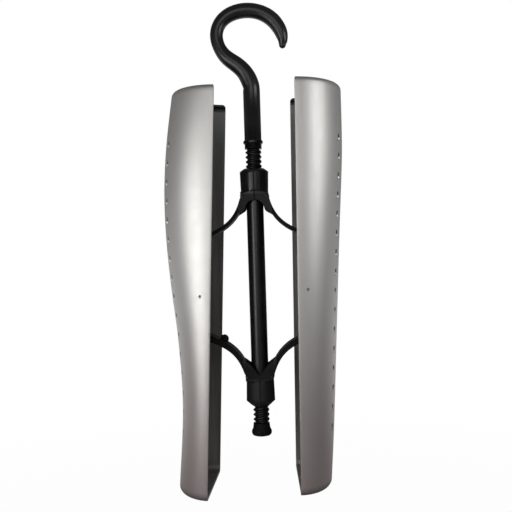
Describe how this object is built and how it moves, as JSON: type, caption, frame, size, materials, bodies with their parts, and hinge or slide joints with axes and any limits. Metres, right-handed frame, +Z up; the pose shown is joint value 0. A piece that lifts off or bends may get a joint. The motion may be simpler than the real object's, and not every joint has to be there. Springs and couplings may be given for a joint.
{
  "type": "boot tree",
  "caption": "Hanging boot tree: contoured silver half-shells on swinging arms, spread inside a boot shaft by turning a hooked screw rod.",
  "frame": {"origin": "the point under the hook's crown that rests on the rail", "axes": "+Z up along the screw rod, +X towards the shin shell, -Y towards the viewer of the picture"},
  "size_m": [0.152, 0.0856, 0.4092],
  "materials": {
    "silver_shell": "satin silver paint outside, black inside",
    "black_rod": "satin moulded black",
    "black_collar": "satin moulded black",
    "black_arm": "satin moulded black",
    "black_bracket": "matt moulded black",
    "bush": "moulded black",
    "pin_steel": "dark drawn steel"
  },
  "bodies": {
    "hook_and_rod": {"hook": "black_rod", "screw_rod": "black_rod", "end_cap": "black_rod"},
    "upper_bush": {"upper_bush": "bush"},
    "upper_collar": {"upper_collar": "black_collar", "upper_calf_root_pin": "pin_steel", "upper_shin_root_pin": "pin_steel"},
    "upper_calf_arm": {"upper_calf_arm": "black_arm"},
    "upper_shin_arm": {"upper_shin_arm": "black_arm"},
    "lower_bush": {"lower_bush": "bush"},
    "lower_collar": {"lower_collar": "black_collar", "lower_calf_root_pin": "pin_steel", "lower_shin_root_pin": "pin_steel"},
    "lower_calf_arm": {"lower_calf_arm": "black_arm"},
    "lower_shin_arm": {"lower_shin_arm": "black_arm"},
    "calf_shell": {"calf_shell": "silver_shell", "upper_calf_bracket": "black_bracket", "upper_calf_shell_pin": "pin_steel", "lower_calf_bracket": "black_bracket", "lower_calf_shell_pin": "pin_steel"},
    "shin_shell": {"shin_shell": "silver_shell", "upper_shin_bracket": "black_bracket", "upper_shin_shell_pin": "pin_steel", "lower_shin_bracket": "black_bracket", "lower_shin_shell_pin": "pin_steel"}
  },
  "joints": [
    {"name": "upper_travel", "type": "slide", "parent": "hook_and_rod", "child": "upper_bush", "axis": [0, 0, 1], "range_m": [-0.004, 0.008]},
    {"name": "turn", "type": "hinge", "parent": "upper_bush", "child": "upper_collar", "pos_m": [0, 0, -0.1522], "axis": [0, 0, 1], "range_deg": [-360, 180]},
    {"name": "lower_travel", "type": "slide", "parent": "hook_and_rod", "child": "lower_bush", "axis": [0, 0, 1], "range_m": [-0.008, 0.004]},
    {"name": "lower_turn", "type": "hinge", "parent": "lower_bush", "child": "lower_collar", "pos_m": [0, 0, -0.3037], "axis": [0, 0, 1], "range_deg": [-360, 180]},
    {"name": "upper_calf_arm_swing", "type": "hinge", "parent": "upper_collar", "child": "upper_calf_arm", "pos_m": [-0.0101, 0, -0.1522], "axis": [0, 1, 0], "range_deg": [-14.05, 7.05]},
    {"name": "upper_shin_arm_swing", "type": "hinge", "parent": "upper_collar", "child": "upper_shin_arm", "pos_m": [0.0101, 0, -0.1522], "axis": [0, 1, 0], "range_deg": [-7.05, 14.05]},
    {"name": "lower_calf_arm_swing", "type": "hinge", "parent": "lower_collar", "child": "lower_calf_arm", "pos_m": [-0.0101, 0, -0.3037], "axis": [0, 1, 0], "range_deg": [-7.05, 14.05]},
    {"name": "lower_shin_arm_swing", "type": "hinge", "parent": "lower_collar", "child": "lower_shin_arm", "pos_m": [0.0101, 0, -0.3037], "axis": [0, 1, 0], "range_deg": [-14.05, 7.05]},
    {"name": "calf_shell_swing", "type": "hinge", "parent": "upper_calf_arm", "child": "calf_shell", "pos_m": [-0.0465, 0, -0.1872], "axis": [0, 1, 0], "range_deg": [-7.05, 14.05]},
    {"name": "shin_shell_swing", "type": "hinge", "parent": "upper_shin_arm", "child": "shin_shell", "pos_m": [0.0465, 0, -0.1872], "axis": [0, 1, 0], "range_deg": [-14.05, 7.05]}
  ],
  "couplings": [
    {"joint": "upper_travel", "follows": "turn", "m_per_rad": -0.0012732},
    {"joint": "lower_travel", "follows": "turn", "m_per_rad": 0.0012732},
    {"joint": "lower_turn", "follows": "turn", "ratio": 1},
    {"joint": "upper_calf_arm_swing", "follows": "turn", "ratio": 0.037333},
    {"joint": "upper_shin_arm_swing", "follows": "turn", "ratio": -0.037333},
    {"joint": "lower_calf_arm_swing", "follows": "turn", "ratio": -0.037333},
    {"joint": "lower_shin_arm_swing", "follows": "turn", "ratio": 0.037333},
    {"joint": "calf_shell_swing", "follows": "turn", "ratio": -0.037333},
    {"joint": "shin_shell_swing", "follows": "turn", "ratio": 0.037333}
  ]
}
